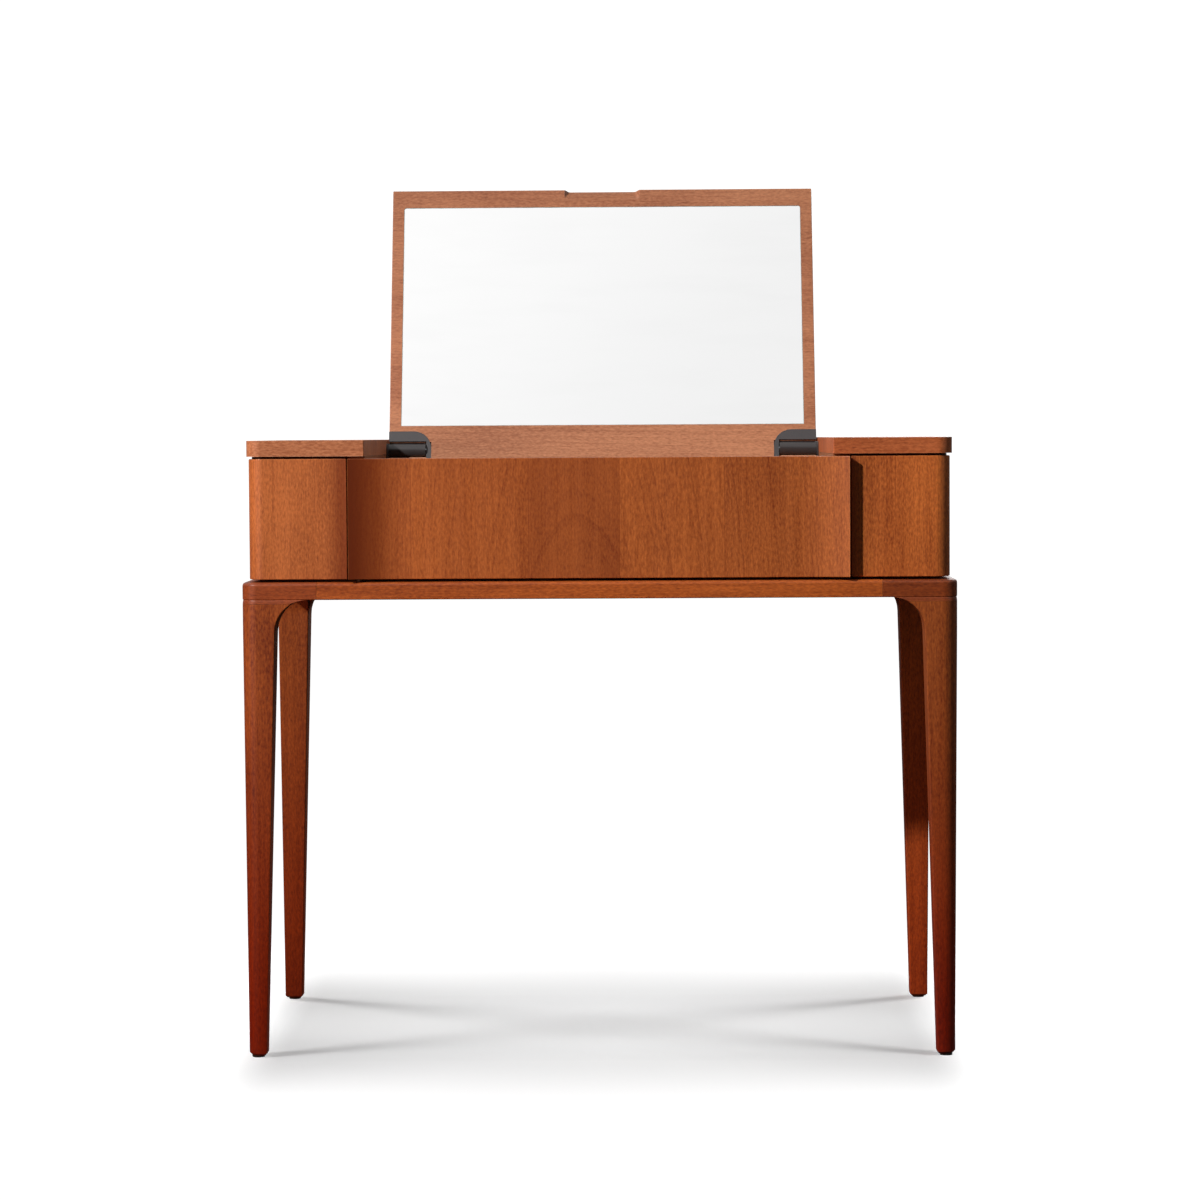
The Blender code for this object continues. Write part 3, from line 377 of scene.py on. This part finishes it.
def wood(name, grain, light, dark, pith=(0.0, 0.2, 0.0), leaves=None, coat=0.12, worn=0.6,
         deep=None, painted_shade_band=None, **timber):
    """Stained and lacquered wood.

    The pith shifts the piece from the middle of its log. Deep is the colour that the stain is
    multiplied by towards the floor, as painted shade. The painted shade band (place, width, share)
    is darkest at that place across the piece and thins out over the width to its right, or to its
    left if that is negative.
    """
    material, tree, shader = new_material(name)
    place = node(tree, "TexCoord").outputs["Object"]
    vector = place
    leaf = None
    if leaves:
        leaf = use_group(tree, leaves, {"Vector": place, "Seed": timber["Seed"]})
        vector = leaf["Vector"]
    turned = node(tree, "Mapping", {"Vector": vector, "Location": pith, "Rotation": GRAIN_TURN[grain]})
    vector = turned.outputs["Vector"]
    stain = {"Light Stain": light, "Dark Stain": dark}
    made = use_group(tree, TIMBER, {"Vector": vector, **stain, **timber})
    tint = made["Colour"]
    if leaf:
        tint = mix(tree, calc(tree, "MULTIPLY", leaf["Tone"], LEAF_SPREAD), tint, dark)
        tint = mix(tree, calc(tree, "MULTIPLY", leaf["Joint"], JOINT_DARKNESS), tint, dark)
    # Painted shade: a band across the piece is darkened towards the dark stain, darkest at its start.
    if painted_shade_band:
        start, width, share = painted_shade_band
        across = node(tree, "SeparateXYZ", {0: place}).outputs["X"]
        away = calc(tree, "DIVIDE", calc(tree, "SUBTRACT", across, start), width)
        tint = mix(tree, ramp(tree, away, 0.0, 1.0, share, 0.0), tint, dark)
    # Painted shade: the stain is multiplied darker and redder towards the floor, in place of lamp light
    # fading down the legs.
    if deep:
        height = node(tree, "SeparateXYZ", {0: place}).outputs["Z"]
        tint = mix(tree, ramp(tree, height, 0.0, LEG_TOP, 1.0, 0.0), tint, deep, "MULTIPLY")
    # Paler edges: partly rubbed stain, partly a painted highlight.
    edge_share = use_group(tree, EDGE_MASK, {"Strength": worn})["Edge Share"]
    rubbed_and_highlit_tint = [min(1.0, share * gain) for share, gain in zip(light, RUBBED_AND_HIGHLIT_GAIN)] + [1.0]
    tint = mix(tree, edge_share, tint, rubbed_and_highlit_tint)
    relief = {"Height": made["Height"], "Distance": GRAIN_RELIEF, "Strength": GRAIN_RELIEF_STRENGTH}
    bump = node(tree, "Bump", relief)
    tree.links.new(tint, shader.inputs["Base Color"])
    tree.links.new(made["Roughness"], shader.inputs["Roughness"])
    tree.links.new(bump.outputs["Normal"], shader.inputs["Normal"])
    shader.inputs["Specular IOR Level"].default_value = WOOD_SPECULAR
    shader.inputs["Coat Weight"].default_value = coat
    shader.inputs["Coat Roughness"].default_value = LACQUER_ROUGHNESS
    print("wood", name, "with the grain", grain)
    return material


def dress(material, *names):
    """Puts a material on CAD nodes."""
    for name in names:
        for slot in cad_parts[name].material_slots:
            slot.material = material


# %% [markdown]
# ## Legs and rails
#
# The frame is solid timber, a shade redder and darker than the case. The legs have upright grain,
# the rails run with theirs, and the corner blocks lie with the grain across, so the joint with
# each leg shows as a change of direction.

# %% Legs and rails
ENDS, SIDES = ("front", "rear"), ("left", "right")
# Painted shade for the lower legs, one tint per leg: darkest on the front right leg, on the side away from
# the key lamp.
FRONT_LEFT_LOW_SHADE = (0.92, 0.30, 0.12, 1.0)
FRONT_RIGHT_LOW_SHADE = (0.66, 0.15, 0.06, 1.0)
REAR_LOW_SHADE = (1.0, 0.50, 0.25, 1.0)
LOW_SHADE_TINTS = (FRONT_LEFT_LOW_SHADE, FRONT_RIGHT_LOW_SHADE, REAR_LOW_SHADE, REAR_LOW_SHADE)
leg_stain = dict(light=colour(188, 100, 42), dark=colour(96, 28, 10))
leg_rings = {"Ring Width": 0.0065, "Lean": 0.02}
for number, (end, side) in enumerate((end, side) for end in ENDS for side in SIDES):
    leg = wood(
        f"{end}_{side}_leg_timber", "up", pith=(0.09, 0.32, 0.1), deep=LOW_SHADE_TINTS[number],
        worn=0.2, Seed=number + 1.0, **leg_stain, **leg_rings,
    )
    dress(leg, f"{end}_{side}_leg")
    block = wood(
        f"{end}_{side}_block_timber", "across", colour(166, 80, 34), colour(86, 28, 8),
        pith=(0.5, 0.1, 0.0), worn=0.25, Seed=number + 11.0, **{"Ring Width": 0.004},
    )
    dress(block, f"{end}_{side}_corner_block")
rail_stain = dict(light=colour(204, 106, 42), dark=colour(114, 42, 10))
for number, end in enumerate(ENDS):
    rail = wood(f"{end}_rail_timber", "across", pith=(0.45, 0.15, 0.0), Seed=number + 21.0, **rail_stain)
    dress(rail, f"{end}_rail")
for number, side in enumerate(SIDES):
    rail = wood(f"{side}_rail_timber", "back", pith=(0.2, 0.6, 0.0), Seed=number + 25.0, **rail_stain)
    dress(rail, f"{side}_rail")

# %% [markdown]
# ## Case
#
# The drawer front, the side shells and the back are veneered with the grain upright. The drawer
# front's leaves are of several tones, and one of them shows a cathedral. Painted shade darkens the
# stain where the front sweeps forward and turns from the key lamp, and on each shell beside the
# drawer, where the drawer's ends shade it.

# %% Case
case_stain = dict(light=colour(210, 118, 54), dark=colour(118, 46, 14))
shell_stains = {
    "left": dict(light=colour(204, 118, 60), dark=colour(118, 50, 18)),
    "right": dict(light=colour(230, 128, 58), dark=colour(126, 50, 16)),
}
# Painted shade over the drawer's left end, which sweeps forward and turns away from the key lamp.
front_veneer = wood(
    "drawer_front_veneer", "up", pith=(0.02, 0.28, 0.0), leaves=DRAWER_VENEER, Seed=3.0,
    painted_shade_band=(drawer_low.x, 0.085, 0.95), **case_stain,
    **{"Ring Width": 0.0055, "Lean": 0.18, "Ring Strength": 0.35},
)
dress(front_veneer, "drawer_front")
for number, side in enumerate(SIDES):
    inner_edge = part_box(f"{side}_side_shell")[1 - number].x
    # Painted shade on each shell beside the drawer, where the drawer's proud ends shade it; on the right
    # it deepens the cast shadow.
    shell = wood(
        f"{side}_shell_veneer", "up", pith=(0.1, 0.30, 0.0), Seed=number + 31.0,
        painted_shade_band=(inner_edge, -0.03 if side == "left" else 0.012, 0.7), **shell_stains[side],
    )
    dress(shell, f"{side}_side_shell")
back_veneer = wood(
    "back_veneer", "up", pith=(0.0, 0.1, 0.0), leaves=BACK_VENEER, Seed=40.0, **case_stain
)
dress(back_veneer, "back_panel")

# %% [markdown]
# ## Tops and lid
#
# The tops are the palest wood on the table, with the grain across. The lid is one board, so its
# grain carries on from the stiles across the rails round the mirror. The right wing is darker and
# redder than the left.

# %% Tops and lid
top_stain = dict(light=colour(220, 150, 104), dark=colour(146, 80, 46))
lid_stain = dict(light=colour(210, 144, 104), dark=colour(142, 80, 52))
right_stain = dict(light=colour(208, 116, 66), dark=colour(136, 58, 24))
for number, (name, stain) in enumerate(
    (("left_wing_top", top_stain), ("right_wing_top", right_stain), ("rear_top_rail", top_stain))
):
    # The tops' edges get the strongest painted highlight, along their rounded arris.
    top = wood(
        f"{name}_timber", "across", pith=(0.78, 0.35, 0.0), worn=0.9, Seed=number + 51.0, **stain
    )
    dress(top, name)
lid_timber = wood(
    "lid_timber", "across", pith=(0.4, 0.6, 0.0), Seed=57.0, **lid_stain,
    **{"Ring Width": 0.007, "Lean": 0.03},
)
dress(lid_timber, "lid_panel")

# %% [markdown]
# ## Inside the case
#
# Boards that are seen only when the drawer or lid is open have a thinner finish: stained board for
# the tray and partitions, near-black strips whose darkness is painted shade for the shadow gap, and
# pale lacquered board for the drawer.

# %% Inside
inside_colours = dict(light=colour(182, 122, 84), dark=colour(118, 66, 38), coat=0.1)
dress(
    wood("inside_timber", "across", pith=(0.6, 0.2, 0.0), Seed=61.0, worn=0.2, **inside_colours),
    "bottom_panel", "tray_floor", "tray_front_rail",
)
dress(
    wood("partition_timber", "back", pith=(0.2, 0.6, 0.0), Seed=62.0, worn=0.2, **inside_colours),
    "left_partition", "right_partition",
)
# Near-black strips: their darkness is painted shade for the shadow gaps under the tops and the case.
gap_shade_colours = dict(light=colour(74, 44, 28), dark=colour(38, 20, 12), coat=0.0, worn=0.1)
strips = [f"{place}_spacer_strip" for place in (*ENDS, *SIDES)]
dress(
    wood("gap_shade_strip_timber", "across", pith=(0.6, 0.2, 0.0), Seed=63.0, **gap_shade_colours),
    *strips, "left_wing_cleat", "right_wing_cleat", "left_wing_strip", "right_wing_strip",
    "rear_top_spacer",
)
box_colours = dict(light=colour(226, 200, 164), dark=colour(186, 150, 108), coat=0.15, worn=0.1)
dress(
    wood("drawer_side_board", "back", pith=(0.2, 0.6, 0.0), Seed=64.0, **box_colours),
    "drawer_left_side", "drawer_right_side",
)
dress(
    wood("drawer_back_board", "across", pith=(0.6, 0.2, 0.0), Seed=65.0, **box_colours),
    "drawer_back", "drawer_base",
)

# %% [markdown]
# ## Mirror
#
# A mirror is glass with silver behind it. From the front the silver is all that shows, so a
# metallic shader with no roughness is enough, and the cut edge of the glass shows green. Dust and
# the trails of wiping take a trace of light out of it. They go into the colour and a slight bump,
# not the roughness, so that the mirror stays a perfect one and the studio can know its rays.

# %% Mirror
def mirror_material():
    material, tree, shader = new_material("silvered_glass")
    place = node(tree, "TexCoord").outputs["Object"]
    smear = node(tree, "Mapping", {"Vector": place, "Scale": (6.0, 6.0, 30.0)}).outputs["Vector"]
    wiped = node(tree, "TexNoise", {"Vector": smear, "Scale": 1.0, "Detail": 4.0}).outputs["Fac"]
    dust = node(tree, "TexNoise", {"Vector": place, "Scale": 900.0, "Detail": 1.0}).outputs["Fac"]
    specks = ramp(tree, dust, 0.70, 0.80)
    soiled = calc(tree, "MULTIPLY_ADD", specks, 0.5, ramp(tree, wiped, 0.40, 0.80, 0.0, 0.4))
    clean = mix(tree, soiled, colour(249, 249, 249), colour(244, 244, 244))
    edge = use_group(tree, EDGE_MASK, {"Radius": 0.0015, "Strength": 1.0})["Edge Share"]
    tint = mix(tree, edge, clean, colour(120, 150, 138))
    bump = node(tree, "Bump", {"Height": soiled, "Distance": 0.000002, "Strength": 0.1})
    tree.links.new(tint, shader.inputs["Base Color"])
    tree.links.new(bump.outputs["Normal"], shader.inputs["Normal"])
    shader.inputs["Roughness"].default_value = 0.0
    shader.inputs["Metallic"].default_value = 1.0
    return material


dress(mirror_material(), "mirror_glass")

# %% [markdown]
# ## Hinges, slides, bolts and glides
#
# The hinges are powder-coated iron. Powder melts into a skin with a fine orange-peel texture, so
# the coat gets a small bump and a speckle. The slides, pins and bolts are zinc-plated steel, with
# drawing lines along their length. The glides are plain plastic with a faint moulded grain.

# %% The fine skin group
def skin_group():
    tree, given, wanted = start_group(
        "Fine Skin",
        [
            ("Stretch", "Vector", (1.0, 1.0, 1.0)),
            ("Scale", "Float", 1200.0),
            ("Colour", "Color", colour(80, 80, 84)),
            ("Speckle", "Float", 0.25),
            ("Roughness", "Float", 0.45),
        ],
        [("Colour", "Color"), ("Roughness", "Float"), ("Height", "Float")],
    )
    place = node(tree, "TexCoord").outputs["Object"]
    drawn = node(tree, "VectorMath", {0: place, 1: given["Stretch"]}, operation="MULTIPLY").outputs[0]
    fine = node(tree, "TexNoise", {"Vector": drawn, "Scale": given["Scale"], "Detail": 2.0}).outputs["Fac"]
    broad = node(tree, "TexNoise", {"Vector": place, "Scale": 60.0, "Detail": 3.0}).outputs["Fac"]
    both = calc(tree, "ADD", calc(tree, "MULTIPLY", fine, 0.6), calc(tree, "MULTIPLY", broad, 0.4))
    shade = calc(tree, "MULTIPLY_ADD", calc(tree, "SUBTRACT", both, 0.5), given["Speckle"], 1.0)
    scaled = node(tree, "VectorMath", {0: given["Colour"], "Scale": shade}, operation="SCALE").outputs[0]
    rough = calc(tree, "MULTIPLY_ADD", calc(tree, "SUBTRACT", both, 0.5), 0.3, given["Roughness"])
    return finish_group(tree, wanted, {"Colour": scaled, "Roughness": rough, "Height": fine})


SKIN = skin_group()


def metal_or_plastic(name, tint, roughness, metallic, worn_tint=None, bump=0.00008, **skin):
    """A fine-skinned finish with an optional brighter worn edge."""
    material, tree, shader = new_material(name)
    made = use_group(tree, SKIN, {"Colour": tint, "Roughness": roughness, **skin})
    shown = made["Colour"]
    if worn_tint:
        edge_share = use_group(tree, EDGE_MASK, {"Radius": 0.0008, "Strength": 0.6})["Edge Share"]
        shown = mix(tree, edge_share, shown, worn_tint)
    relief = node(tree, "Bump", {"Height": made["Height"], "Distance": bump, "Strength": 0.5})
    tree.links.new(shown, shader.inputs["Base Color"])
    tree.links.new(made["Roughness"], shader.inputs["Roughness"])
    tree.links.new(relief.outputs["Normal"], shader.inputs["Normal"])
    shader.inputs["Metallic"].default_value = metallic
    print("finish", name)
    return material


# %% [markdown]
# The worn edges of the iron show a little paler. Powder is not a metal to light, although what it
# covers is, so only the plated steel is metallic.

# %% Hinges, slides, bolts and glides
plate_iron = metal_or_plastic("plate_iron", colour(70, 67, 68), 0.5, 0.0, worn_tint=colour(112, 108, 109))
barrel_iron = metal_or_plastic("barrel_iron", colour(62, 58, 58), 0.32, 0.0, worn_tint=colour(96, 92, 92))
dress(plate_iron, "left_hinge_plate", "right_hinge_plate")
dress(barrel_iron, "left_hinge_bracket", "right_hinge_bracket")
steel = metal_or_plastic(
    "drawn_steel", colour(196, 198, 202), 0.32, 1.0, Stretch=(1.0, 0.03, 1.0), Speckle=0.35
)
for side in SIDES:
    dress(steel, *[f"{side}_slide_{member}_channel" for member in ("case", "middle", "drawer")])
bolt_steel = metal_or_plastic("bolt_steel", colour(188, 190, 196), 0.38, 1.0, Speckle=0.4)
bolts = [f"{end}_{side}_case_bolt" for end in ENDS for side in SIDES]
dress(bolt_steel, *bolts, "left_hinge_pin", "right_hinge_pin")
plastic = metal_or_plastic("glide_plastic", colour(52, 46, 42), 0.6, 0.0, Scale=2200.0)
dress(plastic, *[f"{end}_{side}_foot_glide" for end in ENDS for side in SIDES])

# %% [markdown]
# ## Floor
#
# The floor is pale and plain. A catalogue burns it out to white except in the soft patch between
# the legs, so the camera sees an extra glow that starts just outside the feet. The table itself is
# lit by a darker floor, since a bright one would throw light up the legs, which are dark low down.
# Painting the patch on the floor would be simpler, but then it could not take the feet's shadows.

# %% Floor
FLOOR_SIZE = 60.0
PATCH_HALF_WIDTH, PATCH_HALF_DEPTH = 0.40, 0.12
PATCH_FADE_WIDTH, PATCH_FADE_DEPTH = 0.12, 0.55
PATCH_LIFT = 0.08
FLOOR_ON_TABLE = 0.06


def seen_directly(tree):
    """One for rays from the camera and those a perfect mirror sends on, and nought for others."""
    path = node(tree, "LightPath").outputs
    return calc(tree, "MAXIMUM", path["Is Camera Ray"], path["Is Singular Ray"])


def floor_material():
    material, tree, shader = new_material("studio_floor")
    place = node(tree, "TexCoord").outputs["Object"]
    parts = node(tree, "SeparateXYZ", {0: place}).outputs
    aside = calc(tree, "ABSOLUTE", parts["X"])
    along = calc(tree, "ABSOLUTE", calc(tree, "SUBTRACT", parts["Y"], MIDDLE.y))
    wide = ramp(tree, aside, PATCH_HALF_WIDTH, PATCH_HALF_WIDTH + PATCH_FADE_WIDTH)
    deep = ramp(tree, along, PATCH_HALF_DEPTH, PATCH_HALF_DEPTH + PATCH_FADE_DEPTH)
    dim = calc(tree, "MULTIPLY", calc(tree, "SUBTRACT", 1.0, wide), calc(tree, "SUBTRACT", 1.0, deep))
    glow = calc(tree, "SUBTRACT", 1.0, calc(tree, "MULTIPLY", dim, 1.0 - PATCH_LIFT))
    seen = seen_directly(tree)
    mottled = node(tree, "TexNoise", {"Vector": place, "Scale": 3.0, "Detail": 2.0}).outputs["Fac"]
    pale_grey = ramp(tree, mottled, 0.2, 0.8, 0.79, 0.81)
    shade = calc(tree, "MULTIPLY", pale_grey, ramp(tree, seen, 0, 1, FLOOR_ON_TABLE, 1))
    pale = node(tree, "CombineColor", {0: shade, 1: shade, 2: shade}).outputs[0]
    tree.links.new(pale, shader.inputs["Base Color"])
    shader.inputs["Roughness"].default_value = 0.9
    shader.inputs["Specular IOR Level"].default_value = 0.0
    shader.inputs["Emission Color"].default_value = (1.0, 1.0, 1.0, 1.0)
    tree.links.new(calc(tree, "MULTIPLY", glow, seen), shader.inputs["Emission Strength"])
    return material


bpy.ops.mesh.primitive_grid_add(x_subdivisions=8, y_subdivisions=8, size=FLOOR_SIZE, location=(0, 0, 0))
floor = bpy.context.object
floor.name = "studio_floor"
floor.data.materials.append(floor_material())
print("floor", FLOOR_SIZE, "m wide")

# %% [markdown]
# ## Sky
#
# The camera sees white all round. What the table is lit by is dimmer, and what it reflects is a
# third thing: dark at eye height in front, where the studio is dark, and bright overhead and
# behind. The mirror shows what the camera would see, a little brighter towards the upper left.

# %% Sky
SKY_ON_TABLE = 0.07
SKY_SEEN = 1.1


def studio_sky():
    world = bpy.data.worlds.new("studio_sky")
    bpy.context.scene.world = world
    world.use_nodes = True
    tree = world.node_tree
    way = node(tree, "TexCoord").outputs["Generated"]
    parts = node(tree, "SeparateXYZ", {0: way}).outputs
    above = ramp(tree, parts["Z"], 0.14, 0.50)
    behind = ramp(tree, parts["Y"], 0.0, 0.5, 0.0, 0.3)
    bright = calc(tree, "MAXIMUM", above, behind)
    to_upper_left = calc(tree, "MULTIPLY_ADD", parts["X"], -1.2, parts["Z"])
    gradient = ramp(tree, to_upper_left, 0.53, 0.74, 0.93, 1.05)
    glossy = calc(tree, "MULTIPLY", calc(tree, "MULTIPLY_ADD", bright, 0.98, 0.015), gradient)
    soft = calc(tree, "MULTIPLY", bright, SKY_ON_TABLE)
    path = node(tree, "LightPath").outputs
    lit = calc(tree, "MAXIMUM", calc(tree, "MULTIPLY", path["Is Glossy Ray"], glossy), soft)
    mirrored = calc(tree, "MULTIPLY", path["Is Singular Ray"], gradient)
    shown = calc(tree, "MAXIMUM", calc(tree, "MULTIPLY", path["Is Camera Ray"], SKY_SEEN), mirrored)
    strength = calc(tree, "MAXIMUM", shown, lit)
    back = tree.nodes["Background"]
    back.inputs["Color"].default_value = (1.0, 1.0, 1.0, 1.0)
    tree.links.new(strength, back.inputs["Strength"])


studio_sky()
bpy.context.scene.view_settings.view_transform = "Standard"
print("sky at", SKY_ON_TABLE, "on the table")

# %% [markdown]
# ## Lamps on the table
#
# A small key lamp stands high on the left, 46 degrees round from the front, and throws the crisp
# shadow beside the right end of the drawer. Its cone fades out towards the floor, so the legs
# darken downwards. A warm, low lamp on the same side stands in for light that has bounced off
# other wood, which is why the shadows are red and not grey. A soft lamp far round on the right
# lifts the other side, and another lights the back for whoever walks round the table. Light linking
# keeps all four off the floor and out of the mirror.

# %% Lamps on the table
def lamp(name, kind, around, rise, distance, watts, aim, reaches, blocked_by=None, **settings):
    """A lamp placed by its bearing from the aim: degrees round from the front, and degrees up."""
    light = bpy.data.lights.new(name, kind)
    light.energy = watts
    for key, value in settings.items():
        setattr(light, key, value)
    obj = bpy.data.objects.new(name, light)
    bpy.context.collection.objects.link(obj)
    bearing, lift = math.radians(around), math.radians(rise)
    level = math.cos(lift)
    way = Vector((math.sin(bearing) * level, -math.cos(bearing) * level, math.sin(lift)))
    obj.location = Vector(aim) + distance * way
    obj.rotation_euler = way.to_track_quat("Z", "Y").to_euler()
    obj.light_linking.receiver_collection = group_of(f"{name}_reaches", reaches)
    if blocked_by:
        obj.light_linking.blocker_collection = group_of(f"{name}_blocked_by", blocked_by)
    print("lamp", name, "at", tuple(round(c, 2) for c in obj.location))
    return obj


def group_of(name, members):
    made = bpy.data.collections.new(name)
    for member in members:
        made.objects.link(member)
    return made


table = [piece for name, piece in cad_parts.items() if name != "mirror_glass"]
KEY_AIM = (0.0, FRONT, TOP_HEIGHT + 0.12)
LOW_AIM = (-0.1, FRONT, TOP_HEIGHT - 0.4)
WARM = (1.0, 0.38, 0.24)
KEY_BEAM = dict(spot_size=math.radians(25), spot_blend=1.0, shadow_soft_size=0.12)
lamp("key", "SPOT", -46, 27, 5.0, 1030, KEY_AIM, table, **KEY_BEAM)
lamp("warm_low", "AREA", -56, 6, 2.2, 11, LOW_AIM, table, size=0.9, color=WARM)
lamp("fill", "AREA", 66, 16, 2.8, 4, (0.0, FRONT, TOP_HEIGHT - 0.1), table, size=1.0)
lamp("back", "AREA", 155, 24, 2.6, 20, (0.0, 0.2, TOP_HEIGHT - 0.1), table, size=1.2)

# %% [markdown]
# ## Lamps on the floor
#
# Four lamps stand outside the four feet and shine inwards, so each foot throws a blade of shadow
# towards the middle. Each lamp is blocked by its own leg and glide alone, since the shadows of the
# case and of the other legs would cross the blades. A wide lamp makes the blade fade quickly.

# %% Lamps on the floor
FOOT_RISE, FOOT_DISTANCE, FOOT_WATTS = 22, 1.1, 172
FOOT_BEAM = dict(spot_size=math.radians(29), spot_blend=1.0, shadow_soft_size=0.42)
for end in ENDS:
    for side in SIDES:
        low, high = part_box(f"{end}_{side}_foot_glide")
        foot = (low + high) / 2
        bearing = math.degrees(math.atan2(foot.x, MIDDLE.y - foot.y))
        blockers = [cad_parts[f"{end}_{side}_{part}"] for part in ("leg", "foot_glide")]
        lamp(f"{end}_{side}_foot_lamp", "SPOT", bearing, FOOT_RISE, FOOT_DISTANCE, FOOT_WATTS,
             (foot.x, foot.y, 0.0), [floor], blockers, **FOOT_BEAM)
